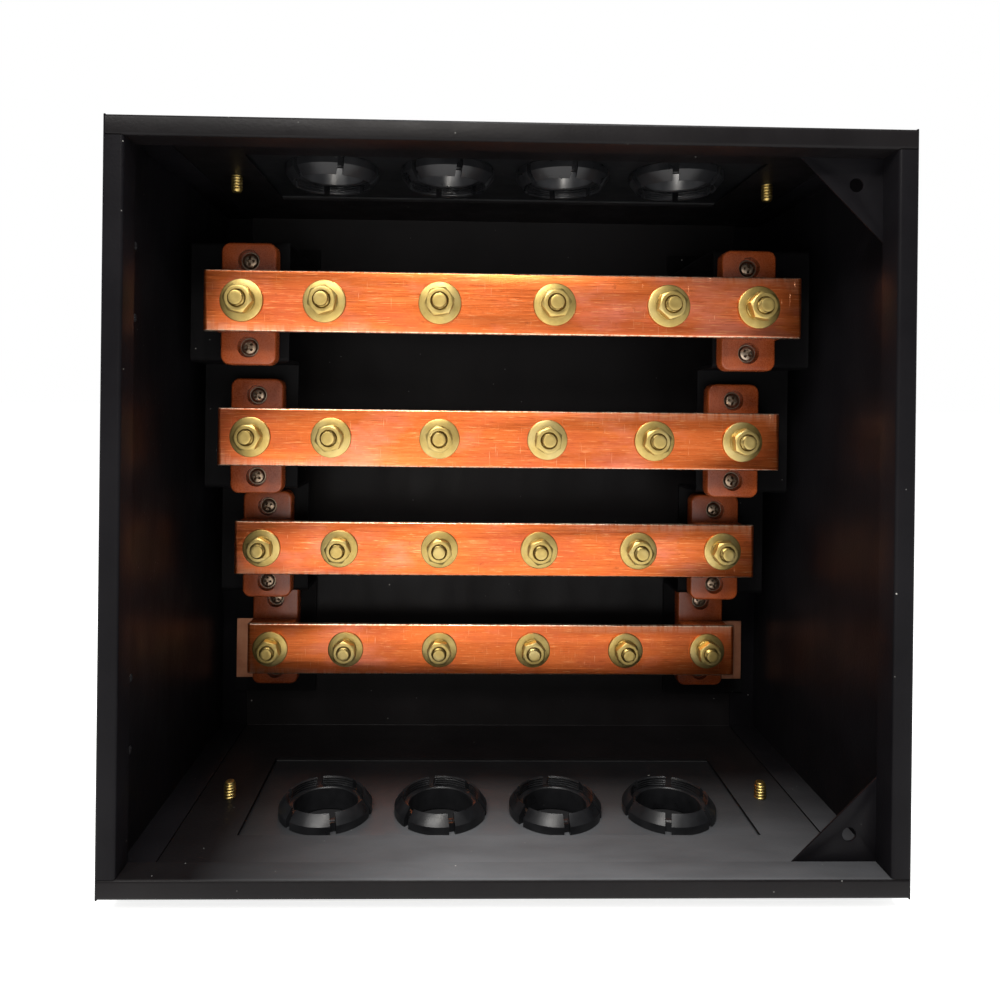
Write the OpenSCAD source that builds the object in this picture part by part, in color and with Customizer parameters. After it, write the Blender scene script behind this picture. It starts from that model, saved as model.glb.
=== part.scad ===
// Wall-mounted busbar distribution box: an open-fronted sheet-steel enclosure with four
// horizontal copper busbars that stand on stepped brackets and moulded insulators.
// Frame: +X to the right, +Z up, the open front faces -Y.
// The origin is the centre of the outer back face, so the wall plane is Y = 0.
// Positions inside the box are given as a depth, counted from the front plane.

/* [Enclosure] */
// Outer width of the enclosure
box_w = 450; // [444:1:470]
// Outer height of the enclosure
box_h = 428; // [424:1:460]
// Outer depth of the enclosure
box_d = 236; // [236:1:250]
// Thickness of the enclosure sheet
sheet = 1.5; // [1.2:0.1:2]
// Width of the front lip all round the door opening
lip_w = 11.5; // [10:0.5:14]
// Depth to which the lip is folded back inside
return_d = 17; // [12:1:18]
// Width of the side panels' weld flanges
weld_flange = 20; // [15:1:22]
// Leg of the triangular door-screw gussets
gusset_leg = 68; // [60:1:72]
// Distance of the gusset hole from both outer faces
gusset_hole_in = 27; // [24:1:30]
// Diameter of the gusset hole
gusset_hole_dia = 8; // [6:0.5:9]

/* [Door and wall holes] */
// Diameter of the hinge holes in the left side
hinge_hole_dia = 5; // [4:0.5:6]
// Depth of the hinge holes behind the front plane
hinge_hole_depth = 43; // [36:1:48]
// Height of the middle of each pair of hinge holes above or below centre
hinge_pair_z = 129; // [120:1:140]
// Spacing of the two holes of a pair
hinge_pair_pitch = 43; // [30:1:50]
// Diameter of the wall-fixing holes in the back
wall_hole_dia = 9; // [7:0.5:10]
// Horizontal spacing of the wall-fixing holes
wall_hole_dx = 240; // [200:5:250]
// Vertical spacing of the wall-fixing holes
wall_hole_dz = 290; // [280:5:300]

/* [Busbars] */
// Length of each busbar
bar_len = 392; // [386:1:396]
// Height of each busbar
bar_h = 40; // [36:1:40]
// Thickness of each busbar
bar_t = 4; // [3:0.5:5]
// Height of the top busbar's centre above the box's centre
bar_top_z = 124; // [122:1:125]
// Drop from the first busbar to the second
drop_1 = 90; // [86:1:91]
// Drop from the second busbar to the third
drop_2 = 85; // [84:1:88]
// Drop from the third busbar to the fourth
drop_3 = 88; // [84:1:89]
// Step back from the first busbar to the second
step_1 = 34; // [30:1:36]
// Step back from the second busbar to the third
step_2 = 45; // [40:1:46]
// Step back from the third busbar to the fourth
step_3 = 41; // [38:1:42]
// Pitch of the four terminal studs along a bar
terminal_pitch = 75; // [70:1:76]
// Offset of the terminal row from the middle of the bar
terminal_shift = -5; // [-6:1:0]
// Distance of the top bar's end studs from the middle of their row
end_stud_x = 169; // [168:1:172]
// How much further out the end studs sit on each lower bar
end_stud_lean = 2.2; // [0:0.1:2.4]
// Offset of the end studs and insulators from the middle of the box
end_stud_shift = -2; // [-3:0.5:0]

/* [Insulators] */
// Width of an insulator
ins_w = 37; // [34:1:40]
// Height of an insulator's flange
ins_h = 82; // [80:1:83]
// Thickness of an insulator's flange
ins_flange = 11; // [10:0.5:12]
// Standing height of an insulator's boss above its flange
ins_boss = 13; // [12:0.5:14]
// Corner radius of the insulator
ins_corner = 6; // [4:0.5:7]
// Spacing of an insulator's two fixing screws
ins_screw_pitch = 58; // [57:0.5:60]
// Rise of the lowest pair's flanges above their busbar
lowest_rise = 7; // [0:1:7]

/* [Brackets] */
// Thickness of the stepped bracket's sheet
bracket_t = 2; // [1.5:0.5:2]
// Width of the stepped bracket
bracket_w = 67; // [60:1:68]
// Distance of the bracket's outer edge from the box's middle
bracket_edge_x = 213; // [208:1:214]

/* [Gland plates] */
// Width of the gland cut-out in the floor and ceiling
cut_w = 330; // [320:1:334]
// Front-to-back size of the gland cut-out
cut_d = 109; // [100:1:112]
// Depth of the cut-out's centre
cut_centre_d = 118; // [112:1:120]
// Depth of the row of gland bushes
bush_line_d = 99; // [97:1:104]
// Pitch of the gland bushes
bush_pitch = 77; // [70:1:78]
// Width of a gland plate
gland_plate_w = 396; // [386:1:400]
// Front-to-back size of a gland plate
gland_plate_d = 138; // [132:1:144]
// Thickness of a gland plate
gland_plate_t = 2; // [1.5:0.5:2.5]
// Distance of the gland plate's fixing screws from the middle
gland_screw_x = 183; // [180:1:186]
// Depth of the gland plate's fixing screws
gland_screw_d = 112; // [108:1:118]

/* [Gland bushes] */
// Thread diameter of a gland bush
bush_thread = 50; // [48:1:50]
// Clear bore of a gland bush
bush_bore = 42; // [36:1:43]
// Outer diameter of a bush's flange
bush_flange_dia = 66; // [62:1:68]
// Outer diameter of a locknut
locknut_dia = 62; // [60:1:64]
// Diameter of a locknut's top rim
locknut_rim_dia = 53; // [52.5:0.5:54]
// Height of a locknut
locknut_h = 11.5; // [10:0.5:12]

/* [Terminal hardware] */
// Thread diameter of the terminal studs
stud_dia = 10; // [8:1:10]
// Diameter of the large plain washers
washer_dia = 28; // [24:1:30]
// Width across the flats of the nuts and bolt heads
nut_af = 17; // [16:0.5:18]
// Height of a nut
nut_h = 8; // [7:0.5:8.5]
// Thread that stands out of a nut
stud_free = 4; // [3:0.5:5]

/* [Hidden] */
fine = 64;
clear = 0.05;
gasket_t = 1.5;
gasket_w = 12;
plain_washer_t = 2;
spring_washer_t = 2.5;
spring_washer_dia = 18;
bolt_head_h = 6.4;
bar_hole_dia = stud_dia + 1;
insert_dia = 15;
insert_len = 16;
end_stud_grip = 12;
stud_relief = 0.5;
stud_shank_dia = stud_dia - 1;
ins_screw_dia = 6;
ins_screw_play = 0.6;
step_lap = 2.5;
tread_margin = 2.5;
ins_screw_head_dia = 12.5;
ins_screw_head_h = 3.5;
ins_counterbore_dia = 14.5;
ins_counterbore_depth = 5.5;
gland_screw_dia = 8;
gland_screw_free = 11;
gland_screw_head_h = 5.3;
gland_screw_af = 13;
bush_washer_t = 1.5;
bush_flange_t = 6;
bush_rim_below_nut = 5.5;
bush_chamfer = 1.5;
locknut_slots = 6;
locknut_slot_w = 4;
locknut_neck_h = 5.5;
locknut_slot_root = 27;
slot_turn = [18, -45, 8, 45];
backing_t = 1;
backing_ear_h = 49;
backing_below = 32;
backing_edge_x = 211.5;
bar_count = 4;
ways = 4;
drops = [drop_1, drop_2, drop_3];
steps = [step_1, step_2, step_3];

half_w = box_w / 2;
half_h = box_h / 2;
in_w = half_w - sheet;
in_h = half_h - sheet;
wall_d = box_d - sheet;
foot_back_d = wall_d - sheet;
flange_start_d = return_d + 3;
ins_total = ins_flange + ins_boss;
gasket_face_z = half_h + gasket_t;
gland_face_z = gasket_face_z;
gland_outer_z = gland_face_z + gland_plate_t;

// ---- places that repeat -------------------------------------------------------------

// Height of busbar k's centre, counted from 1 at the top
function bar_z(k) = k == 1 ? bar_top_z : bar_z(k - 1) - drops[k - 2];

// Depth of the bracket's face behind busbar k; the last one is the foot on the back
function tread_d(k) = k == bar_count ? foot_back_d - bracket_t : tread_d(k + 1) - steps[k - 1];

// Depth of busbar k's front face
function bar_d(k) = tread_d(k) - ins_total - bar_t;

// Middle of insulator k's flange; the lowest pair stands a little above its bar
function flange_z(k) = bar_z(k) + (k == bar_count ? lowest_rise : 0);

// Lower and upper edge of the bracket's tread k
function tread_low(k) = bar_z(k) - ins_h / 2 + (k == bar_count ? -tread_margin : step_lap);
function tread_top(k) = k == 1 ? bar_z(1) + ins_h / 2 + tread_margin : tread_low(k - 1);

// Middle of terminal n on a busbar, and of gland bush n, counted from 1 at the left
function terminal_x(n) = terminal_shift + (n - (ways + 1) / 2) * terminal_pitch;
function bush_x(n) = (n - (ways + 1) / 2) * bush_pitch;

// Middle of busbar k's end stud and insulator, on the left (side -1) or the right (side 1)
function end_x(side, k) = end_stud_shift + side * (end_stud_x + (k - 1) * end_stud_lean);

// All six stud places along busbar k
function stud_places(k) = [end_x(-1, k), for (n = [1:ways]) terminal_x(n), end_x(1, k)];

// ---- drawing helpers ----------------------------------------------------------------

// A block between two places: x, depth and z are each [low, high]
module block(x, d, z) {
    translate([x[0], d[0] - box_d, z[0]])
        cube([x[1] - x[0], d[1] - d[0], z[1] - z[0]]);
}

// A flat X-Z outline, made solid from depth d[0] to depth d[1]
module prism_y(d) {
    translate([0, d[1] - box_d, 0])
        rotate([90, 0, 0])
            linear_extrude(d[1] - d[0])
                children();
}

// A flat depth-Z outline, made solid from x[0] to x[1]
module prism_x(x) {
    translate([x[0], -box_d, 0])
        rotate([90, 0, 90])
            linear_extrude(x[1] - x[0])
                children();
}

// A flat X-depth outline, made solid from z[0] to z[1]
module prism_z(z) {
    translate([0, -box_d, z[0]])
        linear_extrude(z[1] - z[0])
            children();
}

// A round bar or hole along the depth, centred on x and z
module rod_y(x, z, d, dia) {
    translate([x, d[0] - box_d, z])
        rotate([-90, 0, 0])
            cylinder(h = d[1] - d[0], d = dia, $fn = fine);
}

// A ring along the depth
module ring_y(x, z, d, outer_dia, inner_dia) {
    prism_y(d)
        translate([x, z])
            difference() {
                circle(d = outer_dia, $fn = fine);
                circle(d = inner_dia, $fn = fine);
            }
}

// A rectangle with round corners, centred on the origin
module rounded_rect(w, h, r) {
    square([w - 2 * r, h], center = true);
    square([w, h - 2 * r], center = true);
    for (sx = [-1, 1], sz = [-1, 1])
        translate([sx * (w / 2 - r), sz * (h / 2 - r)])
            circle(r = r, $fn = fine);
}

// Turns a piece made for the ceiling over to the floor
module at_floor() {
    mirror([0, 0, 1])
        children();
}

// ---- enclosure ----------------------------------------------------------------------

// The cut-out and the two screw holes that a gland plate covers
module gland_openings() {
    translate([0, cut_centre_d])
        square([cut_w, cut_d], center = true);
    for (sx = [-1, 1])
        translate([sx * gland_screw_x, gland_screw_d])
            circle(d = gland_screw_dia + 2 * clear, $fn = fine);
}

// The ceiling with its front lip and return
module shell_ceiling() {
    prism_z([in_h, half_h])
        difference() {
            translate([-in_w, 0])
                square([2 * in_w, box_d]);
            gland_openings();
        }
    side_in = half_w - lip_w;
    block([-in_w, in_w], [0, sheet], [half_h - lip_w, in_h]);
    block([-side_in, side_in], [sheet, return_d], [half_h - lip_w, half_h - lip_w + sheet]);
}

// One sheet folded into ceiling, back and floor
module main_shell() {
    color("#1b1c20") {
        shell_ceiling();
        at_floor()
            shell_ceiling();
        prism_y([wall_d, box_d])
            difference() {
                square([2 * in_w, 2 * in_h], center = true);
                for (sx = [-1, 1], sz = [-1, 1])
                    translate([sx * wall_hole_dx / 2, sz * wall_hole_dz / 2])
                        circle(d = wall_hole_dia, $fn = fine);
            }
    }
}

// The hinge holes in the left side, as a depth-Z outline
module hinge_holes() {
    for (sz = [-1, 1], step = [-1, 1])
        translate([hinge_hole_depth, sz * hinge_pair_z + step * hinge_pair_pitch / 2])
            circle(d = hinge_hole_dia, $fn = fine);
}

// A side tray, drawn on the left: web, front lip, return and three weld flanges
module side_tray(drilled) {
    flange_x = [-in_w, -in_w + weld_flange];
    lip_z = [-half_h + lip_w, half_h - lip_w];
    prism_x([-half_w, -in_w])
        difference() {
            translate([0, -half_h])
                square([box_d, box_h]);
            if (drilled)
                hinge_holes();
        }
    block([-in_w, -half_w + lip_w], [0, sheet], lip_z);
    block([-half_w + lip_w - sheet, -half_w + lip_w], [sheet, return_d], lip_z);
    block(flange_x, [foot_back_d, wall_d], [-in_h, in_h]);
    for (z = [[-in_h, -in_h + sheet], [in_h - sheet, in_h]])
        block(flange_x, [flange_start_d, foot_back_d], z);
}

module side_panel_left() {
    color("#1f2024")
        side_tray(true);
}

module side_panel_right() {
    color("#1f2024")
        mirror([1, 0, 0])
            side_tray(false);
}

// Triangular plate behind the right-hand corner of the front lip, with the door's screw hole
module gusset_top() {
    hole = [half_w - gusset_hole_in, half_h - gusset_hole_in];
    color("#26272c")
        prism_y([return_d, return_d + sheet])
            difference() {
                polygon([[in_w, in_h], [in_w - gusset_leg, in_h], [in_w, in_h - gusset_leg]]);
                translate(hole)
                    circle(d = gusset_hole_dia, $fn = fine);
            }
}

module gusset_bottom() {
    at_floor()
        gusset_top();
}

// ---- gland plates and bushes --------------------------------------------------------

// Drilled plate that closes the cut-out from outside
module gland_plate_top() {
    color("#202126")
        prism_z([gland_face_z, gland_outer_z])
            difference() {
                translate([0, cut_centre_d])
                    square([gland_plate_w, gland_plate_d], center = true);
                for (n = [1:ways])
                    translate([bush_x(n), bush_line_d])
                        circle(d = bush_thread + 1, $fn = fine);
                for (sx = [-1, 1])
                    translate([sx * gland_screw_x, gland_screw_d])
                        circle(d = gland_screw_dia + 1, $fn = fine);
            }
}

module gland_plate_bottom() {
    at_floor()
        gland_plate_top();
}

// Flat foam frame between the gland plate and the box
module gland_gasket_top() {
    color("#2b2b2b")
        prism_z([half_h, gasket_face_z])
            difference() {
                translate([0, cut_centre_d])
                    square([cut_w + 6 + 2 * gasket_w, cut_d + 2 + 2 * gasket_w], center = true);
                translate([0, cut_centre_d])
                    square([cut_w + 6, cut_d + 2], center = true);
                for (sx = [-1, 1])
                    translate([sx * gland_screw_x, gland_screw_d])
                        circle(d = gland_screw_dia + 2, $fn = fine);
            }
}

module gland_gasket_bottom() {
    at_floor()
        gland_gasket_top();
}

// Hexagon screws that hold the plate; their thread ends stand inside the box
module gland_screws_top() {
    color("#b9b078")
        for (sx = [-1, 1])
            translate([sx * gland_screw_x, gland_screw_d - box_d, 0]) {
                translate([0, 0, in_h - gland_screw_free])
                    cylinder(h = gland_outer_z - in_h + gland_screw_free, d = gland_screw_dia, $fn = fine);
                translate([0, 0, gland_outer_z])
                    cylinder(h = gland_screw_head_h, r = gland_screw_af / sqrt(3), $fn = 6);
            }
}

module gland_screws_bottom() {
    at_floor()
        gland_screws_top();
}

// Flanged plastic bush: its flange is outside and its threaded neck comes in
module bush_body() {
    neck = gland_face_z - locknut_h + bush_rim_below_nut;
    flange_in = gland_outer_z + bush_washer_t;
    flange_out = flange_in + bush_flange_t;
    rotate_extrude($fn = fine)
        polygon([
            [bush_bore / 2, neck],
            [bush_thread / 2, neck],
            [bush_thread / 2, flange_in],
            [bush_flange_dia / 2, flange_in],
            [bush_flange_dia / 2, flange_out - bush_chamfer],
            [bush_flange_dia / 2 - bush_chamfer, flange_out],
            [bush_bore / 2, flange_out]
        ]);
}

module bush_bodies_top() {
    color("#18191c")
        for (n = [1:ways])
            translate([bush_x(n), bush_line_d - box_d, 0])
                bush_body();
}

module bush_bodies_bottom() {
    at_floor()
        bush_bodies_top();
}

// Rubber washers under the bush flanges
module bush_washers_top() {
    color("#2e2e30")
        prism_z([gland_outer_z, gland_outer_z + bush_washer_t])
            for (n = [1:ways])
                translate([bush_x(n), bush_line_d])
                    difference() {
                        circle(d = bush_flange_dia - 3, $fn = fine);
                        circle(d = bush_thread + 0.5, $fn = fine);
                    }
}

module bush_washers_bottom() {
    at_floor()
        bush_washers_top();
}

// One slot of a locknut: a notch in the thick foot that goes right through the thin rim
module locknut_slot() {
    translate([locknut_slot_root, -locknut_slot_w / 2, -1])
        cube([locknut_dia, locknut_slot_w, locknut_h + 2]);
    translate([0, -locknut_slot_w / 2, locknut_neck_h])
        cube([locknut_dia, locknut_slot_w, locknut_h]);
}

// Slotted plastic locknut, standing on its wide foot
module locknut(turn) {
    difference() {
        rotate_extrude($fn = fine)
            polygon([
                [bush_thread / 2 + clear, 0],
                [locknut_dia / 2, 0],
                [locknut_dia / 2, locknut_neck_h],
                [locknut_rim_dia / 2, locknut_h],
                [bush_thread / 2 + clear, locknut_h]
            ]);
        for (s = [1:locknut_slots])
            rotate([0, 0, turn - 90 + s * 360 / locknut_slots])
                locknut_slot();
    }
}

module bush_locknuts_bottom() {
    color("#1c1d20")
        for (n = [1:ways])
            translate([bush_x(n), bush_line_d - box_d, -gland_face_z])
                locknut(slot_turn[n - 1]);
}

module bush_locknuts_top() {
    at_floor()
        bush_locknuts_bottom();
}

// ---- stepped brackets ---------------------------------------------------------------

// Side outline of the bracket: four treads, the steps under them and the top leg
module bracket_outline() {
    top = tread_top(1);
    for (k = [1:bar_count])
        translate([tread_d(k), tread_low(k)])
            square([bracket_t, tread_top(k) - tread_low(k)]);
    for (k = [1:bar_count - 1])
        translate([tread_d(k), tread_low(k)])
            square([steps[k - 1] + bracket_t, bracket_t]);
    translate([tread_d(1), top - bracket_t])
        square([foot_back_d - tread_d(1), bracket_t]);
    translate([foot_back_d - bracket_t, top - bracket_t])
        square([bracket_t, weld_flange]);
}

module bracket(side) {
    x = side * (bracket_edge_x - bracket_w / 2);
    difference() {
        prism_x([x - bracket_w / 2, x + bracket_w / 2])
            bracket_outline();
        for (k = [1:bar_count], s = [-1, 1])
            rod_y(end_x(side, k), flange_z(k) + s * ins_screw_pitch / 2,
                  [tread_d(k) - 1, tread_d(k) + bracket_t + 1], ins_screw_dia + 2 * clear);
    }
}

module bracket_left() {
    color("#17181b")
        bracket(-1);
}

module bracket_right() {
    color("#17181b")
        bracket(1);
}

// ---- insulators ---------------------------------------------------------------------

// Moulded insulator: flange with two counterbored screw holes and a raised boss
module insulator(side, k) {
    x = end_x(side, k);
    front = tread_d(k) - ins_total;
    color("#7a3a24")
        difference() {
            union() {
                prism_y([tread_d(k) - ins_flange, tread_d(k)])
                    translate([x, flange_z(k)])
                        rounded_rect(ins_w, ins_h, ins_corner);
                block([x - ins_w / 2, x + ins_w / 2], [front, tread_d(k) - ins_flange],
                      [bar_z(k) - bar_h / 2, bar_z(k) + bar_h / 2]);
            }
            for (s = [-1, 1]) {
                z = flange_z(k) + s * ins_screw_pitch / 2;
                rod_y(x, z, [tread_d(k) - ins_flange - 1, tread_d(k) + 1],
                      ins_screw_dia + ins_screw_play);
                rod_y(x, z, [front - 1, tread_d(k) - ins_flange + ins_counterbore_depth],
                      ins_counterbore_dia);
            }
            rod_y(x, bar_z(k), [front - 1, front + insert_len], insert_dia + 2 * clear);
        }
}

module insulator_left_1() { insulator(-1, 1); }
module insulator_left_2() { insulator(-1, 2); }
module insulator_left_3() { insulator(-1, 3); }
module insulator_left_4() { insulator(-1, 4); }
module insulator_right_1() { insulator(1, 1); }
module insulator_right_2() { insulator(1, 2); }
module insulator_right_3() { insulator(1, 3); }
module insulator_right_4() { insulator(1, 4); }

// Threaded brass inserts moulded into the bosses
module inserts(side) {
    color("#b08d3c")
        for (k = [1:bar_count])
            ring_y(end_x(side, k), bar_z(k),
                   [tread_d(k) - ins_total, tread_d(k) - ins_total + insert_len],
                   insert_dia, stud_dia + 2 * clear);
}

module insulator_inserts_left() { inserts(-1); }
module insulator_inserts_right() { inserts(1); }

// Cross-recessed pan-head screw, from the counterbore to the bracket's rear face
module insulator_screw(x, z, seat) {
    head_front = seat - ins_flange + ins_counterbore_depth - ins_screw_head_h;
    slot = 1.4;
    reach = 6.5;
    difference() {
        union() {
            rod_y(x, z, [head_front, head_front + ins_screw_head_h], ins_screw_head_dia);
            rod_y(x, z, [head_front + ins_screw_head_h, seat + bracket_t], ins_screw_dia);
        }
        block([x - slot / 2, x + slot / 2], [head_front - 1, head_front + 2],
              [z - reach / 2, z + reach / 2]);
        block([x - reach / 2, x + reach / 2], [head_front - 1, head_front + 2],
              [z - slot / 2, z + slot / 2]);
    }
}

module insulator_screws(side) {
    color("#8d8375")
        for (k = [1:bar_count], s = [-1, 1])
            insulator_screw(end_x(side, k), flange_z(k) + s * ins_screw_pitch / 2, tread_d(k));
}

module insulator_screws_left() { insulator_screws(-1); }
module insulator_screws_right() { insulator_screws(1); }

// Copper backing plate beside the lowest insulator, flat on the bracket's foot
module backing_plate(side) {
    inner = end_x(side, bar_count) + side * (ins_w / 2 + 0.5);
    x = side > 0 ? [inner, backing_edge_x] : [-backing_edge_x, inner];
    bottom = bar_z(bar_count) - backing_below;
    color("#b4673f")
        block(x, [tread_d(bar_count) - backing_t, tread_d(bar_count)], [bottom, bottom + backing_ear_h]);
}

module backing_plate_left() { backing_plate(-1); }
module backing_plate_right() { backing_plate(1); }

// ---- busbars and their hardware -----------------------------------------------------

// Flat copper bar with six stud holes
module busbar(k) {
    color("#d2703a")
        prism_y([bar_d(k), bar_d(k) + bar_t])
            translate([0, bar_z(k)])
                difference() {
                    square([bar_len, bar_h], center = true);
                    for (x = stud_places(k))
                        translate([x, 0])
                            circle(d = bar_hole_dia, $fn = fine);
                }
}

module busbar_1() { busbar(1); }
module busbar_2() { busbar(2); }
module busbar_3() { busbar(3); }
module busbar_4() { busbar(4); }

// Front of a stud: it stands through the washers and the nut
function stud_tip_d(k) = bar_d(k) - plain_washer_t - spring_washer_t - nut_h - stud_free;

// A stud: full thread diameter at its free end, and the thread's pitch diameter further in
module stud_rod(x, k, back) {
    free_end = stud_tip_d(k) + stud_free - stud_relief;
    rod_y(x, bar_z(k), [stud_tip_d(k), free_end], stud_dia);
    rod_y(x, bar_z(k), [free_end, back], stud_shank_dia);
}

// Four hexagon bolts put in from behind and two studs screwed into the insulators
module studs(k) {
    back = bar_d(k) + bar_t;
    color("#c9b878") {
        for (n = [1:ways]) {
            stud_rod(terminal_x(n), k, back);
            prism_y([back, back + bolt_head_h])
                translate([terminal_x(n), bar_z(k)])
                    circle(r = nut_af / sqrt(3), $fn = 6);
        }
        for (side = [-1, 1])
            stud_rod(end_x(side, k), k, back + end_stud_grip);
    }
}

module studs_1() { studs(1); }
module studs_2() { studs(2); }
module studs_3() { studs(3); }
module studs_4() { studs(4); }

// Large plain washers on the busbar's face
module plain_washers(k) {
    color("#bfae72")
        for (x = stud_places(k))
            ring_y(x, bar_z(k), [bar_d(k) - plain_washer_t, bar_d(k)], washer_dia, stud_dia + 0.6);
}

module plain_washers_1() { plain_washers(1); }
module plain_washers_2() { plain_washers(2); }
module plain_washers_3() { plain_washers(3); }
module plain_washers_4() { plain_washers(4); }

// Spring washers between the plain washers and the nuts, flat as when tightened
module spring_washers(k) {
    back = bar_d(k) - plain_washer_t;
    gap = 1.2;
    color("#a99a66")
        for (x = stud_places(k))
            difference() {
                ring_y(x, bar_z(k), [back - spring_washer_t, back], spring_washer_dia, stud_dia + 0.6);
                block([x - gap / 2, x + gap / 2], [back - spring_washer_t - 1, back + 1],
                      [bar_z(k), bar_z(k) + spring_washer_dia]);
            }
}

module spring_washers_1() { spring_washers(1); }
module spring_washers_2() { spring_washers(2); }
module spring_washers_3() { spring_washers(3); }
module spring_washers_4() { spring_washers(4); }

// Hexagon nuts
module nuts(k) {
    back = bar_d(k) - plain_washer_t - spring_washer_t;
    color("#c9b878")
        prism_y([back - nut_h, back])
            for (x = stud_places(k))
                translate([x, bar_z(k)])
                    difference() {
                        circle(r = nut_af / sqrt(3), $fn = 6);
                        circle(d = stud_dia + 2 * clear, $fn = fine);
                    }
}

module nuts_1() { nuts(1); }
module nuts_2() { nuts(2); }
module nuts_3() { nuts(3); }
module nuts_4() { nuts(4); }

// ---- which sub-part is drawn --------------------------------------------------------

main_shell();
side_panel_left();
side_panel_right();
gusset_top();
gusset_bottom();
gland_plate_top();
gland_plate_bottom();
gland_gasket_top();
gland_gasket_bottom();
gland_screws_top();
gland_screws_bottom();
bush_bodies_top();
bush_bodies_bottom();
bush_washers_top();
bush_washers_bottom();
bush_locknuts_top();
bush_locknuts_bottom();
bracket_left();
bracket_right();
backing_plate_left();
backing_plate_right();
insulator_left_1();
insulator_left_2();
insulator_left_3();
insulator_left_4();
insulator_right_1();
insulator_right_2();
insulator_right_3();
insulator_right_4();
insulator_inserts_left();
insulator_inserts_right();
insulator_screws_left();
insulator_screws_right();
busbar_1();
busbar_2();
busbar_3();
busbar_4();
studs_1();
studs_2();
studs_3();
studs_4();
plain_washers_1();
plain_washers_2();
plain_washers_3();
plain_washers_4();
spring_washers_1();
spring_washers_2();
spring_washers_3();
spring_washers_4();
nuts_1();
nuts_2();
nuts_3();
nuts_4();
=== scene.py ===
import math
import random

import bmesh
import bpy
from mathutils import Matrix, Vector

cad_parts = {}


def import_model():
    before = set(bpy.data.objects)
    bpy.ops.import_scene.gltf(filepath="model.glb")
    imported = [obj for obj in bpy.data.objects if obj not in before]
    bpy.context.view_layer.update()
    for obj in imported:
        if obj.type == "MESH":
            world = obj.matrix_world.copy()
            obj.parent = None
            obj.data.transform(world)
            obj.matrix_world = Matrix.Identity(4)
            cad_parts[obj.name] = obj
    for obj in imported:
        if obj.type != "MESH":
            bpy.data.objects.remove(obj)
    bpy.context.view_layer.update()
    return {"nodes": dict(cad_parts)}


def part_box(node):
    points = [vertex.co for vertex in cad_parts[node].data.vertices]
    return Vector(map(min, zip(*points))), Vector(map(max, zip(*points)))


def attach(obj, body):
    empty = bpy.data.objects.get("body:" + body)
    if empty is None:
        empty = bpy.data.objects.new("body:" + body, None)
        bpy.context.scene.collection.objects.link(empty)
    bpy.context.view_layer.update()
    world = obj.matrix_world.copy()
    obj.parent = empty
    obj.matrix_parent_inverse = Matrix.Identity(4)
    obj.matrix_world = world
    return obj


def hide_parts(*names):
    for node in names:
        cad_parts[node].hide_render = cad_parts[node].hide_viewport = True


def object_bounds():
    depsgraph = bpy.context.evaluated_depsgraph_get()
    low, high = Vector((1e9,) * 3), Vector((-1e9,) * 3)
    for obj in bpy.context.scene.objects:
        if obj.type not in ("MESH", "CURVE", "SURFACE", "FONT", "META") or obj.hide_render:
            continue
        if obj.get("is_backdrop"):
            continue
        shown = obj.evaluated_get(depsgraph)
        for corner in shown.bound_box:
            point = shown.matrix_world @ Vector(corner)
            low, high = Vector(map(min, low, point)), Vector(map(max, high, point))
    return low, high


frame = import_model()

MM = 0.001
RIGHT, UP, FRONT = Vector((1, 0, 0)), Vector((0, 0, 1)), Vector((0, -1, 0))
SHEET_BEND = 2.0 * MM        # outer bend radius of the enclosure sheet
BRACKET_BEND = 3.0 * MM      # outer bend radius of the stepped brackets
STUDIO_LIGHT = 0.28          # strength of the white surroundings as a light; seen directly they are 1
BRACKET_FLANGE = 18 * MM     # height of the brackets' rear flange above their top leg
STEP_LAP = 2.5 * MM          # how far an insulator hangs over the step under it
BOLT_HEAD = 6.4 * MM         # height of the bolt heads behind the bars
GLAND_SCREW_HEAD = 5.3 * MM  # height of the gland plates' screw heads
WASHER_BORE = 5.3 * MM       # inner radius of the terminal washers
CAMERA_PLACE = (-0.0309, -0.6712, 0.0582)
CAMERA_TURN = (90, -0.66, -1.265)   # in degrees
CAMERA_LENS = 28.58          # in mm; assumed, and the box's depth was worked out with it
CAMERA_SHIFT = (0.0259, -0.0956)
SMOOTH_ANGLE = math.radians(32)
HARDWARE_SEGMENTS = 48
BUSH_SEGMENTS = 96
STUD_PITCH = 1.5 * MM
GLAND_SCREW_PITCH = 2.0 * MM
BUSH_PITCH = 1.5 * MM
LOCKNUT_SLOTS = 6
LOCKNUT_TURNS = (18, -45, 8, 45)    # how far each gland's locknut is turned, in degrees
BARS = (1, 2, 3, 4)
SIDES = ("left", "right")
ENDS = ("top", "bottom")


# ---- places from the frame ------------------------------------------------------------

def solids(node):
    """The boxes of the separate solids in a CAD node, sorted from left to right."""
    bm = bmesh.new()
    bm.from_mesh(frame["nodes"][node].data)
    bmesh.ops.remove_doubles(bm, verts=bm.verts, dist=1e-6)
    waiting = set(bm.verts)
    boxes = []
    while waiting:
        stack = [waiting.pop()]
        group = []
        while stack:
            vert = stack.pop()
            group.append(vert.co.copy())
            for edge in vert.link_edges:
                other = edge.other_vert(vert)
                if other in waiting:
                    waiting.discard(other)
                    stack.append(other)
        low = Vector([min(co[i] for co in group) for i in range(3)])
        high = Vector([max(co[i] for co in group) for i in range(3)])
        boxes.append((low, high))
    bm.free()
    return sorted(boxes, key=lambda box: (round(box[0].x, 5), -box[0].z))


def middle(box):
    return (box[0] + box[1]) / 2


def terminal_faces(node):
    """Centre of the rear face of each piece in a row of terminal hardware, and the piece's size."""
    return [(Vector((middle(b).x, b[1].y, middle(b).z)), b[1] - b[0]) for b in solids(node)]


# ---- mesh helpers ---------------------------------------------------------------------

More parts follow.
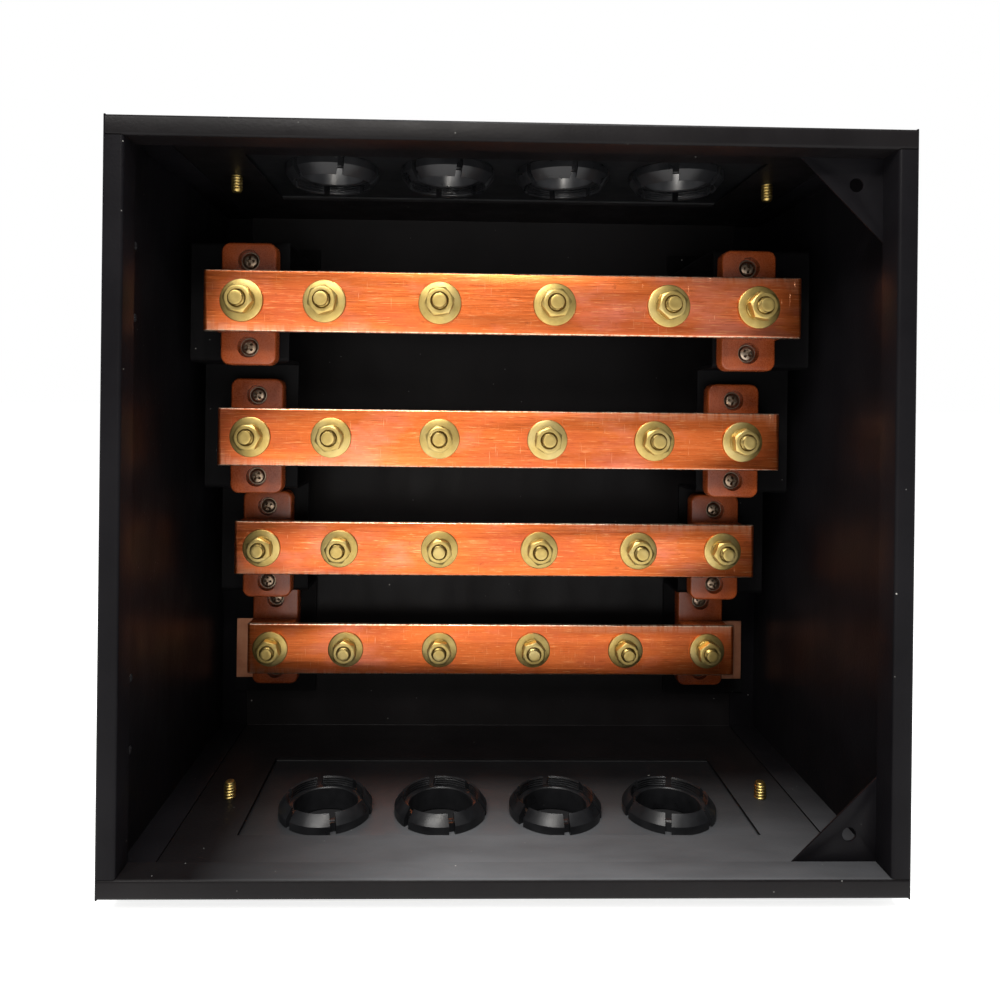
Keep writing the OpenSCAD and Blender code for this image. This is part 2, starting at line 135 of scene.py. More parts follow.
def loft(bm, rows, wrap=False):
    """Skins rows of points, each a closed loop; wrap joins last to first, or else the ends are capped."""
    loops = [[bm.verts.new(point) for point in row] for row in rows]
    following = loops[1:] + ([loops[0]] if wrap else [])
    for near, far in zip(loops, following):
        for i in range(len(near)):
            j = (i + 1) % len(near)
            bm.faces.new((near[i], near[j], far[j], far[i]))
    if not wrap:
        bm.faces.new(loops[0])
        bm.faces.new(loops[-1])


def make_object(name, bm):
    bmesh.ops.recalc_face_normals(bm, faces=bm.faces)
    mesh = bpy.data.meshes.new(name)
    bm.to_mesh(mesh)
    bm.free()
    obj = bpy.data.objects.new(name, mesh)
    bpy.context.scene.collection.objects.link(obj)
    return obj


def with_modifiers(obj):
    """Turns an object's modifiers into its mesh."""
    bpy.context.view_layer.update()
    graph = bpy.context.evaluated_depsgraph_get()
    mesh = bpy.data.meshes.new_from_object(obj.evaluated_get(graph))
    obj.modifiers.clear()
    obj.data = mesh
    return obj


def cut(obj, cutter):
    """Takes the cutter away from the object, and deletes the cutter."""
    boolean = obj.modifiers.new("cut", "BOOLEAN")
    boolean.operation = "DIFFERENCE"
    boolean.solver = "EXACT"
    boolean.use_self = True
    boolean.object = cutter
    with_modifiers(obj)
    bpy.data.objects.remove(cutter)
    return obj


def rounded(obj, width, segments=2, angle=40):
    """Rounds the sharp edges of a finished mesh."""
    bevel = obj.modifiers.new("round", "BEVEL")
    bevel.width = width
    bevel.segments = segments
    bevel.limit_method = "ANGLE"
    bevel.angle_limit = math.radians(angle)
    bevel.harden_normals = False
    return with_modifiers(obj)


def finish_piece(obj, material, slot, *nodes):
    """Shades a piece, fixes it to the frame and lets it stand for its CAD nodes."""
    for polygon in obj.data.polygons:
        polygon.use_smooth = True
    obj.data.set_sharp_from_angle(angle=SMOOTH_ANGLE)
    obj.data.materials.clear()
    obj.data.materials.append(material)
    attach(obj, "root")
    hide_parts(*nodes)
    return obj


def add_box(bm, low, high):
    """A box between two corners."""
    corners = [(low[0], low[1]), (high[0], low[1]), (high[0], high[1]), (low[0], high[1])]
    loft(bm, [[Vector((x, y, z)) for x, y in corners] for z in (low[2], high[2])])


def add_rod(bm, start, axis, length, radius, segments=HARDWARE_SEGMENTS):
    """A plain round cutter."""
    turn = axis.to_track_quat("Z", "Y").to_matrix()
    rows = []
    for height in (0, length):
        rows.append([start + turn @ Vector((radius * math.cos(a), radius * math.sin(a), height))
                     for a in circle_angles(segments)])
    loft(bm, rows)


def circle_angles(count):
    return [2 * math.pi * i / count for i in range(count)]


class Spindle:
    """Draws turned shapes about an axis. A row is a radius, which may depend on the angle, and a height."""

    def __init__(self, centre, axis, segments=HARDWARE_SEGMENTS, turn=0.0):
        self.centre = centre
        self.across = axis.to_track_quat("Z", "Y").to_matrix()
        self.angles = circle_angles(segments)
        self.turn = turn

    def row(self, radius, height):
        points = []
        for angle in self.angles:
            r = radius(angle, height) if callable(radius) else radius
            h = height(angle) if callable(height) else height
            place = Vector((r * math.cos(angle + self.turn), r * math.sin(angle + self.turn), h))
            points.append(self.centre + self.across @ place)
        return points


def hex_radius(across_flats, corner):
    """Radius of a hexagon with slightly blunt corners, by angle."""
    def radius(angle, height=0):
        part = (angle + math.pi / 6) % (math.pi / 3) - math.pi / 6
        return min(across_flats / 2 / math.cos(math.pi / 6 - abs(part)), corner)
    return radius


def thread_radius(outer, pitch, depth, start, end):
    """Radius of a screw thread by angle and height; the ridge fades in at both ends."""
    def radius(angle, height):
        phase = (height / pitch - angle / (2 * math.pi)) % 1.0
        ridge = min(1.0, 1.35 * (1 - abs(2 * phase - 1)))
        fade = min(1.0, (height - start) / pitch + 0.15, (end - height) / pitch + 0.15)
        return outer - depth * (1 - ridge * max(0.0, fade))
    return radius


def thread_heights(start, end, pitch, steps=7):
    count = max(2, round((end - start) / pitch * steps))
    return [start + (end - start) * i / count for i in range(count + 1)]


def folded_outline(path, thickness, bend, side):
    """Outline of a folded sheet. path is one face; side, 1 or -1, is the hand that the thickness is on."""
    points = [Vector(p) for p in path]
    face, back = [], []
    for i, point in enumerate(points):
        before = (point - points[i - 1]).normalized() if i else None
        after = (points[i + 1] - point).normalized() if i + 1 < len(points) else None
        if before is None or after is None:
            way = after or before
            inward = Vector((-way.y, way.x)) * side
            face.append(point)
            back.append(point + inward * thickness)
            continue
        in0 = Vector((-before.y, before.x)) * side
        in1 = Vector((-after.y, after.x)) * side
        outer_turn = in0.dot(after) > 0
        sign = 1 if outer_turn else -1
        face_radius = bend if outer_turn else bend - thickness
        back_radius = bend - thickness if outer_turn else bend
        centre = point + (in0 + in1) * sign * face_radius
        for step in range(5):
            t = step / 4 * math.pi / 2
            spoke = -(in0 * math.cos(t) + in1 * math.sin(t)) * sign
            face.append(centre + spoke * face_radius)
            back.append(centre + spoke * back_radius)
    return face + back[::-1]


def add_prism(bm, outline, low, high, place):
    """An outline made solid between two positions; place turns (u, v, along) into a point."""
    loft(bm, [[place(p.x, p.y, along) for p in outline] for along in (low, high)])


def rounded_rect(width, height, radius, steps=6):
    """Points of a rectangle with round corners, about the origin."""
    points = []
    for quarter, (sx, sy) in enumerate(((1, 1), (-1, 1), (-1, -1), (1, -1))):
        centre = Vector((sx * (width / 2 - radius), sy * (height / 2 - radius)))
        for step in range(steps + 1):
            a = math.pi / 2 * (quarter + step / steps)
            points.append(centre + radius * Vector((math.cos(a), math.sin(a))))
    return points


def plate_rows(width, height, radius, levels):
    """Rows of a moulded plate: levels are (inset, depth) from the rear face to the front one."""
    rows = []
    for inset, level in levels:
        outline = rounded_rect(width - 2 * inset, height - 2 * inset, max(radius - inset, 0.05 * MM))
        rows.append([Vector((p.x, level, p.y)) for p in outline])
    return rows


# ---- materials ------------------------------------------------------------------------

class Paintbox:
    """A node material in the making. Patterns are in metres of the shared frame."""

    def __init__(self, name, **sockets):
        self.material = bpy.data.materials.new(name)
        self.material.use_nodes = True
        self.tree = self.material.node_tree
        self.shader = self.tree.nodes["Principled BSDF"]
        self.place = self.tree.nodes.new("ShaderNodeTexCoord").outputs["Object"]
        for socket, value in sockets.items():
            self.shader.inputs[socket.replace("_", " ")].default_value = value

    def node(self, kind, settings=None, inputs=None):
        made = self.tree.nodes.new("ShaderNode" + kind)
        for key, value in (settings or {}).items():
            setattr(made, key, value)
        for key, value in (inputs or {}).items():
            self.feed(made.inputs[key], value)
        return made

    def feed(self, socket, value):
        if isinstance(value, bpy.types.NodeSocket):
            self.tree.links.new(value, socket)
        else:
            socket.default_value = value

    def stretched(self, scale, turn=(0, 0, 0)):
        """Coordinates in pattern cells, so many to the metre each way."""
        inputs = {"Vector": self.place, "Scale": scale, "Rotation": turn}
        return self.node("Mapping", {}, inputs).outputs["Vector"]

    def noise(self, scale, detail=3.0, rough=0.5, turn=(0, 0, 0)):
        scale = (scale,) * 3 if isinstance(scale, (int, float)) else scale
        inputs = {"Vector": self.stretched(scale, turn), "Scale": 1.0, "Detail": detail, "Roughness": rough}
        return self.node("TexNoise", {}, inputs).outputs["Fac"]

    def specks(self, scale, size, share):
        """Sparse round specks: scale cells to the metre, size in cells, share of cells that have one."""
        cells = self.node("TexVoronoi", {}, {"Vector": self.stretched((scale,) * 3), "Scale": 1.0})
        dot = self.span(cells.outputs["Distance"], size, size * 0.6)
        pick = self.node("SeparateColor", {}, {"Color": cells.outputs["Color"]}).outputs["Red"]
        chosen = self.math("LESS_THAN", pick, share)
        return self.math("MULTIPLY", dot, chosen)

    def span(self, value, low, high, to_low=0.0, to_high=1.0):
        """Maps low..high to to_low..to_high, and clamps."""
        inputs = {"Value": value, "From Min": low, "From Max": high, "To Min": to_low, "To Max": to_high}
        return self.node("MapRange", {"clamp": True}, inputs).outputs["Result"]

    def axis(self, name):
        """Position along one axis of the shared frame, in metres."""
        return self.node("SeparateXYZ", {}, {"Vector": self.place}).outputs[name]

    def facing(self, name):
        """How far the surface faces along one axis, from -1 to 1."""
        normal = self.node("NewGeometry").outputs["Normal"]
        return self.node("SeparateXYZ", {}, {"Vector": normal}).outputs[name]

    def math(self, operation, a, b):
        made = self.node("Math", {"operation": operation})
        self.feed(made.inputs[0], a)
        self.feed(made.inputs[1], b)
        return made.outputs[0]

    def blend(self, factor, a, b):
        made = self.node("Mix", {"data_type": "RGBA"})
        self.feed(made.inputs["Factor"], factor)
        self.feed(made.inputs[6], (*a, 1) if isinstance(a, tuple) else a)
        self.feed(made.inputs[7], (*b, 1) if isinstance(b, tuple) else b)
        return made.outputs[2]

    def bump(self, *heights):
        """Each height is (pattern, its relief in metres)."""
        normal = None
        for pattern, relief in heights:
            inputs = {"Height": pattern, "Distance": relief, "Strength": 1.0}
            if normal is not None:
                inputs["Normal"] = normal
            normal = self.node("Bump", {}, inputs).outputs["Normal"]
        self.feed(self.shader.inputs["Normal"], normal)

    def done(self, colour=None, roughness=None):
        if colour is not None:
            self.feed(self.shader.inputs["Base Color"], colour)
        if roughness is not None:
            self.feed(self.shader.inputs["Roughness"], roughness)
        return self.material


def painted_floor_sheen_and_dust(box):
    """Thin light grey film on the box's floor, thickest at the front and in the middle: a painted sheen
    standing in for light falling on and glancing off the floor, with some dust.
    """
    upward = box.span(box.facing("Z"), 0.6, 0.9)
    low = box.span(box.axis("Z"), -0.195, -0.205)
    front = box.span(box.axis("Y"), -0.085, -0.225)
    left = box.span(box.axis("X"), -0.175, -0.03)
    right = box.span(box.axis("X"), 0.24, 0.0, 0.35, 1.0)
    patches = box.span(box.noise((7, 22, 9), 4, 0.6), 0.3, 0.7, 0.55, 1.0)
    sheen_and_dust = box.math("MULTIPLY", upward, low)
    for part in (front, left, right, patches):
        sheen_and_dust = box.math("MULTIPLY", sheen_and_dust, part)
    return sheen_and_dust


def powder_coat(name, base, light, rough, gloss_level):
    """Satin black powder coat: orange peel, handling smudges, a painted sheen with some dust on the floor, a
    few specks and fluff.
    """
    box = Paintbox(name, Specular_IOR_Level=gloss_level)
    cloud = box.noise(11, 4, 0.6)
    smudge = box.noise((26, 26, 9), 5, 0.65)
    peel = box.noise(620, 2, 0.4)
    grit = box.noise(2600, 2, 0.5)
    colour = box.blend(box.span(cloud, 0.35, 0.7), base, light)
    sheen_and_dust = painted_floor_sheen_and_dust(box)
    # Painted sheen with some dust: the floor is painted light grey, most at the front and in the middle.
    colour = box.blend(sheen_and_dust, colour, (0.165, 0.170, 0.180))
    dust = box.specks(210, 0.10, 0.045)
    fluff = box.specks(70, 0.045, 0.10)
    colour = box.blend(box.math("MULTIPLY", dust, 0.5), colour, (0.20, 0.20, 0.19))
    colour = box.blend(box.math("MULTIPLY", fluff, 0.7), colour, (0.42, 0.41, 0.38))
    gloss = box.span(smudge, 0.35, 0.68, rough - 0.06, rough + 0.12)
    gloss = box.math("ADD", gloss, box.math("MULTIPLY", dust, 0.3))
    gloss = box.math("ADD", gloss, box.math("MULTIPLY", sheen_and_dust, 0.35))
    box.bump((peel, 0.00008), (grit, 0.00001))
    return box.done(colour, gloss)


def brushed_copper():
    """Copper bar, brushed along its length, with scratches, nicks and purplish tarnish, and a painted
    highlight on the faces and edges that point up or down.
    """
    box = Paintbox("copper", Metallic=1.0)
    broad = box.noise((9, 40, 420), 4, 0.6)
    fine = box.noise((22, 60, 2600), 4, 0.65)
    hair = box.noise((14, 60, 6500), 2, 0.5)
    cloud = box.noise((16, 30, 34), 4, 0.6)
    scratch = box.noise((2400, 40, 60), 2, 0.5, (0, 0.5, 0))
    nick = box.noise((1500, 40, 75), 2, 0.5, (0, -0.9, 0))
    colour = box.blend(box.span(fine, 0.32, 0.68), (0.55, 0.100, 0.022), (0.80, 0.200, 0.050))
    colour = box.blend(box.span(broad, 0.5, 0.75, 0, 0.5), colour, (0.86, 0.25, 0.080))
    colour = box.blend(box.span(cloud, 0.48, 0.72, 0, 0.6), colour, (0.52, 0.10, 0.05))
    bloom = box.noise((13, 30, 24), 5, 0.6, (0.4, 0, 0))
    colour = box.blend(box.span(bloom, 0.54, 0.72, 0, 0.55), colour, (0.80, 0.27, 0.20))
    stain = box.noise((95, 60, 120), 4, 0.7)
    colour = box.blend(box.span(stain, 0.64, 0.76, 0, 0.6), colour, (0.30, 0.055, 0.02))
    strokes = box.noise((75, 60, 1700), 3, 0.6)
    colour = box.blend(box.span(strokes, 0.60, 0.68, 0, 0.6), colour, (0.97, 0.48, 0.20))
    colour = box.blend(box.span(strokes, 0.40, 0.33, 0, 0.55), colour, (0.36, 0.055, 0.012))
    marks = box.math("MAXIMUM", box.span(scratch, 0.71, 0.77), box.span(nick, 0.72, 0.78))
    colour = box.blend(box.math("MULTIPLY", marks, 0.6), colour, (0.98, 0.60, 0.34))
    # Painted highlight: faces and rounded edges that point up or down are painted pale copper, broken up by
    # noise.
    edge = box.span(box.math("ABSOLUTE", box.facing("Z"), 0.0), 0.15, 0.55)
    ragged_highlight = box.span(box.noise((330, 60, 60), 3, 0.7), 0.38, 0.55, 0.25, 1.0)
    colour = box.blend(box.math("MULTIPLY", edge, ragged_highlight), colour, (1.0, 0.78, 0.58))
    gloss = box.span(fine, 0.3, 0.7, 0.27, 0.43)
    gloss = box.math("ADD", gloss, box.span(cloud, 0.5, 0.8, 0.0, 0.12))
    box.bump((broad, 0.00007), (fine, 0.00004), (hair, 0.00001), (strokes, 0.00004), (marks, -0.00003))
    return box.done(colour, gloss)


def old_copper():
    """The backing plates' duller, unbrushed copper."""
    box = Paintbox("dull_copper", Metallic=1.0)
    cloud = box.noise(60, 5, 0.6)
    grain = box.noise((900, 900, 60), 3, 0.6)
    colour = box.blend(box.span(cloud, 0.35, 0.7), (0.52, 0.20, 0.11), (0.66, 0.31, 0.18))
    box.bump((grain, 0.00001))
    return box.done(colour, box.span(grain, 0.3, 0.7, 0.38, 0.52))


def plated(name, base, tint, shine, rough):
    """Passivated plating on turned or pressed hardware: cloudy colour, fine tool marks, rubbed spots."""
    box = Paintbox(name, Metallic=1.0)
    cloud = box.noise(150, 4, 0.6)
    drift = box.noise(45, 2, 0.5)
    marks = box.noise(1900, 3, 0.6)
    colour = box.blend(box.span(cloud, 0.35, 0.68), base, tint)
    colour = box.blend(box.span(drift, 0.5, 0.75, 0, 0.5), colour, shine)
    pits = box.specks(900, 0.2, 0.05)
    colour = box.blend(box.math("MULTIPLY", pits, 0.5), colour, tuple(c * 0.35 for c in base))
    box.bump((marks, 0.000008), (cloud, 0.00001))
    return box.done(colour, box.span(marks, 0.3, 0.7, rough - 0.06, rough + 0.10))


def moulding():
    """Red-brown glass-filled moulding compound with flow marks and a fine speckle."""
    box = Paintbox("insulator_moulding", Specular_IOR_Level=0.38)
    flow = box.noise((55, 80, 30), 5, 0.65)
    speckle = box.noise(1300, 3, 0.6)
    pores = box.specks(750, 0.16, 0.08)
    colour = box.blend(box.span(flow, 0.35, 0.68), (0.15, 0.027, 0.006), (0.26, 0.052, 0.011))
    colour = box.blend(box.span(speckle, 0.5, 0.8, 0, 0.5), colour, (0.32, 0.085, 0.022))
    colour = box.blend(box.math("MULTIPLY", pores, 0.6), colour, (0.08, 0.018, 0.01))
    box.bump((flow, 0.00005), (speckle, 0.000018))
    return box.done(colour, box.span(speckle, 0.3, 0.7, 0.22, 0.36))


def moulded_black(name, base, rough, grain):
    """Black plastic, rubber or foam with a moulded or cellular grain."""
    box = Paintbox(name, Specular_IOR_Level=0.3)
    cloud = box.noise(60, 3, 0.6)
    cells = box.noise(grain, 3, 0.55)
    lighter = tuple(c * 1.8 + 0.002 for c in base)
    dust = box.specks(330, 0.09, 0.05)
    colour = box.blend(box.span(cloud, 0.35, 0.7), base, lighter)
    colour = box.blend(box.math("MULTIPLY", dust, 0.45), colour, (0.25, 0.25, 0.24))
    box.bump((cells, 0.00002))
    return box.done(colour, box.span(cloud, 0.3, 0.7, rough - 0.05, rough + 0.12))


def stage_floor():
    """Pale studio floor that glows a little, so that it stays even; right under the box it is painted near
    black and does not glow, a painted shadow.
    """
    box = Paintbox("stage_floor", Specular_IOR_Level=0.2)
    cloud = box.noise(3, 2, 0.5)
    colour = box.blend(cloud, (0.86, 0.86, 0.86), (0.90, 0.90, 0.90))
    # Painted shadow: wide, deep and under mark a patch right under the box, where the floor is painted near
    # black and its glow is turned off.
    wide = box.span(box.math("ABSOLUTE", box.axis("X"), 0.0), 0.20, 0.18)
    deep = box.span(box.math("ABSOLUTE", box.math("ADD", box.axis("Y"), 0.137), 0.0), 0.075, 0.06)
    under = box.math("MULTIPLY", wide, deep)
    box.feed(box.shader.inputs["Emission Color"], (1.0, 1.0, 1.0, 1.0))
    box.feed(box.shader.inputs["Emission Strength"], box.span(under, 0.0, 1.0, 0.80, 0.0))
    colour = box.blend(under, colour, (0.012, 0.012, 0.013))
    return box.done(colour, box.span(cloud, 0, 1, 0.8, 0.9))


MATERIALS = {
    "shell_paint": powder_coat(
        "shell_paint", (0.0036, 0.0031, 0.0034), (0.0064, 0.0056, 0.0060), 0.40, 0.10),
    "side_paint": powder_coat("side_paint", (0.0036, 0.0033, 0.0040), (0.0064, 0.0060, 0.0070), 0.36, 0.05),
    "plate_paint": powder_coat(
        "plate_paint", (0.0050, 0.0052, 0.0060), (0.0090, 0.0094, 0.0104), 0.36, 0.18),
    "bracket_paint": powder_coat(
        "bracket_paint", (0.0026, 0.0025, 0.0028), (0.0044, 0.0042, 0.0046), 0.45, 0.05),
    "gasket_foam": moulded_black("gasket_foam", (0.020, 0.020, 0.021), 0.85, 1500),
    "washer_rubber": moulded_black("washer_rubber", (0.014, 0.014, 0.015), 0.62, 900),
    "black_nylon": moulded_black("black_nylon", (0.0055, 0.0057, 0.0065), 0.30, 1100),
    "yellow_zinc": plated("yellow_zinc", (0.38, 0.27, 0.085), (0.47, 0.35, 0.12), (0.58, 0.49, 0.24), 0.38),
    "dull_copper": old_copper(),
    "copper": brushed_copper(),
    "brass": plated("brass", (0.56, 0.42, 0.15), (0.66, 0.50, 0.20), (0.78, 0.66, 0.36), 0.30),
    "insulator_moulding": moulding(),
    "screw_steel": plated("screw_steel", (0.20, 0.145, 0.10), (0.28, 0.21, 0.15), (0.46, 0.38, 0.30), 0.30),
}


# ---- enclosure ------------------------------------------------------------------------

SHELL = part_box("main_shell")
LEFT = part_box("side_panel_left")
FRONT_Y, BACK_Y = LEFT[0].y, LEFT[1].y
HALF_W, HALF_H = -LEFT[0].x, SHELL[1].z
SHEET = HALF_W + SHELL[0].x
INNER_W, INNER_H = HALF_W - SHEET, HALF_H - SHEET
GUSSET_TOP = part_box("gusset_top")
RETURN_Y = GUSSET_TOP[0].y
FLANGE_W = LEFT[1].x + INNER_W
LIP = 11.5 * MM
FLANGE_START = 3 * MM


def shell_cutter():
    """All that is cut from the folded shell: gland cut-outs and screw holes, wall holes, corner notches."""
    bm = bmesh.new()
    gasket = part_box("gland_gasket_top")
    rim_x, rim_y = 15 * MM, 13 * MM
    for side in (-1, 1):
        low, high = sorted((side * (INNER_H - 3 * MM), side * (HALF_H + 3 * MM)))
        add_box(bm, (gasket[0].x + rim_x, gasket[0].y + rim_y, low),
                (gasket[1].x - rim_x, gasket[1].y - rim_y, high))
        for screw in solids("gland_screws_top"):
            start = Vector((middle(screw).x, middle(screw).y, side * INNER_H - 3 * MM))
            add_rod(bm, start, UP, 8 * MM, 4.05 * MM)
        for end in (-1, 1):
            start = Vector((side * 120 * MM, BACK_Y - 4 * MM, end * 145 * MM))
            add_rod(bm, start, -FRONT, 8 * MM, 4.5 * MM)
            x = sorted((side * (HALF_W - LIP), side * (INNER_W + 1 * MM)))
            z = sorted((end * (HALF_H - LIP - 1 * MM), end * (HALF_H - LIP + SHEET + 0.1 * MM)))
            add_box(bm, (x[0], FRONT_Y + SHEET, z[0]), (x[1], RETURN_Y + 1 * MM, z[1]))
    return make_object("shell_cutter", bm)


def main_shell():
    path = [(RETURN_Y, HALF_H - LIP), (FRONT_Y, HALF_H - LIP), (FRONT_Y, HALF_H), (BACK_Y, HALF_H),
            (BACK_Y, -HALF_H), (FRONT_Y, -HALF_H), (FRONT_Y, LIP - HALF_H), (RETURN_Y, LIP - HALF_H)]
    bm = bmesh.new()
    outline = folded_outline(path, SHEET, SHEET_BEND, -1)
    add_prism(bm, outline, -INNER_W, INNER_W, lambda u, v, along: Vector((along, u, v)))
    obj = cut(make_object("enclosure_shell", bm), shell_cutter())
    return finish_piece(obj, MATERIALS["shell_paint"], "shell_paint", "main_shell")


def side_panel(name, side):
    """A side tray: web, lip and return folded from one sheet, and its weld flanges."""
    path = [(-HALF_W + LIP, RETURN_Y), (-HALF_W + LIP, FRONT_Y), (-HALF_W, FRONT_Y), (-HALF_W, BACK_Y)]
    bm = bmesh.new()
    outline = folded_outline(path, SHEET, SHEET_BEND, -1)
    add_prism(bm, outline, -HALF_H, HALF_H, lambda u, v, along: Vector((-side * u, v, along)))
    obj = make_object(f"side_tray_{name}", bm)
    cutter = bmesh.new()
    for end in (-1, 1):
        x = sorted((side * (INNER_W + 0.0001 * MM), side * (INNER_W - LIP - 2 * MM)))
        z = sorted((end * (HALF_H - LIP), end * (HALF_H + 1 * MM)))
        add_box(cutter, (x[0], FRONT_Y - 1 * MM, z[0]), (x[1], RETURN_Y + 1 * MM, z[1]))
        if side < 0:
            for step in (-1, 1):
                start = Vector((-HALF_W - 2 * MM, FRONT_Y + 43 * MM, end * 129 * MM + step * 21.5 * MM))
                add_rod(cutter, start, RIGHT, 5 * MM, 2.5 * MM)
    cut(obj, make_object("side_cutter", cutter))
    flanges = bmesh.new()
    root, tip = side * (INNER_W + 0.4 * MM), side * (INNER_W - FLANGE_W)
    x = sorted((root, tip))
    add_box(flanges, (x[0], BACK_Y - 2 * SHEET, -INNER_H), (x[1], BACK_Y - SHEET, INNER_H))
    for end in (-1, 1):
        z = sorted((end * INNER_H, end * (INNER_H - SHEET)))
        add_box(flanges, (x[0], RETURN_Y + FLANGE_START, z[0]), (x[1], BACK_Y - 2 * SHEET, z[1]))
    welds = rounded(make_object("flanges", flanges), 0.35 * MM)
    return finish_piece(join(obj, welds), MATERIALS["side_paint"], "side_paint", f"side_panel_{name}")


def join(obj, other):
    """Adds the other object's mesh to the first, and deletes the other object."""
    bm = bmesh.new()
    bm.from_mesh(obj.data)
    bm.from_mesh(other.data)
    bm.to_mesh(obj.data)
    bm.free()
    bpy.data.objects.remove(other)
    return obj


def gusset(name):
    low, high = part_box(f"gusset_{name}")
    side = 1 if name == "top" else -1
    outer, inner = (high.z, low.z) if side > 0 else (low.z, high.z)
    bm = bmesh.new()
    corners = [(high.x, outer), (low.x, outer), (high.x, inner)]
    loft(bm, [[Vector((x, y, z)) for x, z in corners] for y in (low.y, high.y)])
    cutter = bmesh.new()
    hole = Vector((HALF_W - 27 * MM, low.y - 1 * MM, side * (HALF_H - 27 * MM)))
    add_rod(cutter, hole, -FRONT, 4 * MM, 4 * MM)
    obj = cut(make_object(f"corner_gusset_{name}", bm), make_object("gusset_cutter", cutter))
    rounded(obj, 0.25 * MM)
    return finish_piece(obj, MATERIALS["side_paint"], "side_paint", f"gusset_{name}")


# ---- gland plates, bushes and locknuts ------------------------------------------------

def gland_plate(name):
    low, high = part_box(f"gland_plate_{name}")
    centre = middle((low, high))
    size = high - low
    bm = bmesh.new()
    rows = []
    for inset, level in ((0.4, 0), (0, 0.25), (0, 0.75), (0.4, 1)):
        outline = rounded_rect(size.x - 2 * inset * MM, size.y - 2 * inset * MM, 5 * MM)
        rows.append([Vector((centre.x + p.x, centre.y + p.y, low.z + size.z * level)) for p in outline])
    loft(bm, rows)
    cutter = bmesh.new()
    for bush in solids(f"bush_bodies_{name}"):
        add_rod(cutter, Vector((middle(bush).x, middle(bush).y, low.z - 1 * MM)), UP, 4 * MM, 25.5 * MM)
    for screw in solids(f"gland_screws_{name}"):
        add_rod(cutter, Vector((middle(screw).x, middle(screw).y, low.z - 1 * MM)), UP, 4 * MM, 4.5 * MM)
    obj = cut(make_object(f"gland_cover_{name}", bm), make_object("plate_cutter", cutter))
    return finish_piece(obj, MATERIALS["plate_paint"], "plate_paint", f"gland_plate_{name}")


def bush_bodies(name):
    """Flanged bushes: the neck comes into the box, the flange is outside."""
    bm = bmesh.new()
    for low, high in solids(f"bush_bodies_{name}"):
        axis = UP if name == "top" else -UP
        neck_z = low.z if name == "top" else high.z
        centre = Vector((middle((low, high)).x, middle((low, high)).y, neck_z))
        length = high.z - low.z
        flange = (high.x - low.x) / 2
        thick = 6 * MM
        bore, thread = 21 * MM, 25 * MM
        spin = Spindle(centre, axis, BUSH_SEGMENTS)
        profile = [
            (bore + 0.7 * MM, 0), (thread - 0.9 * MM, 0), (thread - 0.2 * MM, 0.7 * MM),
            (thread, 1.2 * MM), (thread, length - thick), (flange - 0.4 * MM, length - thick),
            (flange, length - thick + 0.5 * MM), (flange, length - 1.9 * MM),
            (flange - 0.5 * MM, length - 0.9 * MM),
            (flange - 1.6 * MM, length - 0.1 * MM), (flange - 2.4 * MM, length), (bore + 4.2 * MM, length),
            (bore + 3.6 * MM, length - 0.6 * MM), (bore + 2.6 * MM, length - 0.6 * MM),
            (bore + 2.2 * MM, length),
            (bore + 1.0 * MM, length), (bore + 0.2 * MM, length - 0.5 * MM), (bore, length - 1.3 * MM),
            (bore, 0.7 * MM),
        ]
        loft(bm, [spin.row(r, h) for r, h in profile], wrap=True)
    obj = make_object(f"gland_bushes_{name}", bm)
    return finish_piece(obj, MATERIALS["black_nylon"], "black_nylon", f"bush_bodies_{name}")


def locknut_mesh(size):
    """One slotted locknut, standing on its wide foot at the origin."""
    foot, height = size.x / 2, size.z
    rim, neck, bore = 26.5 * MM, 5.5 * MM, 25.05 * MM
    start, end = 0.8 * MM, height - 0.8 * MM
    thread = thread_radius(bore + 0.9 * MM, BUSH_PITCH, 0.9 * MM, start, end)
    spin = Spindle(Vector((0, 0, 0)), UP, BUSH_SEGMENTS)
    rows = [spin.row(thread, h) for h in thread_heights(start, end, BUSH_PITCH, 6)]
    for r, h in ((rim - 0.35 * MM, height), (rim, height - 0.3 * MM), (foot - 0.5 * MM, neck + 0.5 * MM),
                 (foot, neck - 0.2 * MM), (foot, 0.5 * MM), (foot - 0.5 * MM, 0), (bore + 1.1 * MM, 0)):
        rows.append(spin.row(r, h))
    bm = bmesh.new()
    loft(bm, rows, wrap=True)
    obj = make_object("locknut", bm)
    cutter = bmesh.new()
    half = 2 * MM
    for slot in range(LOCKNUT_SLOTS):
        turn = Matrix.Rotation(slot * 2 * math.pi / LOCKNUT_SLOTS, 4, "Z")
        part = bmesh.new()
        add_box(part, (27 * MM, -half, -2 * MM), (40 * MM, half, neck + 0.01 * MM))
        add_box(part, (10 * MM, -half, neck), (40 * MM, half, height + 2 * MM))
        part.transform(turn)
        mesh = bpy.data.meshes.new("slot")
        part.to_mesh(mesh)
        part.free()
        cutter.from_mesh(mesh)
        bpy.data.meshes.remove(mesh)
    return cut(obj, make_object("slots", cutter))


def locknuts(name):
    places = solids(f"bush_locknuts_{name}")
    pattern = locknut_mesh(places[0][1] - places[0][0])
    bm = bmesh.new()
    for (low, high), turn in zip(places, LOCKNUT_TURNS):
        foot_z = high.z if name == "top" else low.z
        spot = Matrix.Translation((middle((low, high)).x, middle((low, high)).y, foot_z))
        spin = Matrix.Rotation(math.radians(turn - 90), 4, "Z")
        flip = Matrix.Rotation(math.pi, 4, "X") if name == "top" else Matrix.Identity(4)
        mesh = pattern.data.copy()
        mesh.transform(spot @ spin @ flip)
        bm.from_mesh(mesh)
        bpy.data.meshes.remove(mesh)
    bpy.data.objects.remove(pattern)
    obj = make_object(f"gland_locknuts_{name}", bm)
    return finish_piece(obj, MATERIALS["black_nylon"], "black_nylon", f"bush_locknuts_{name}")


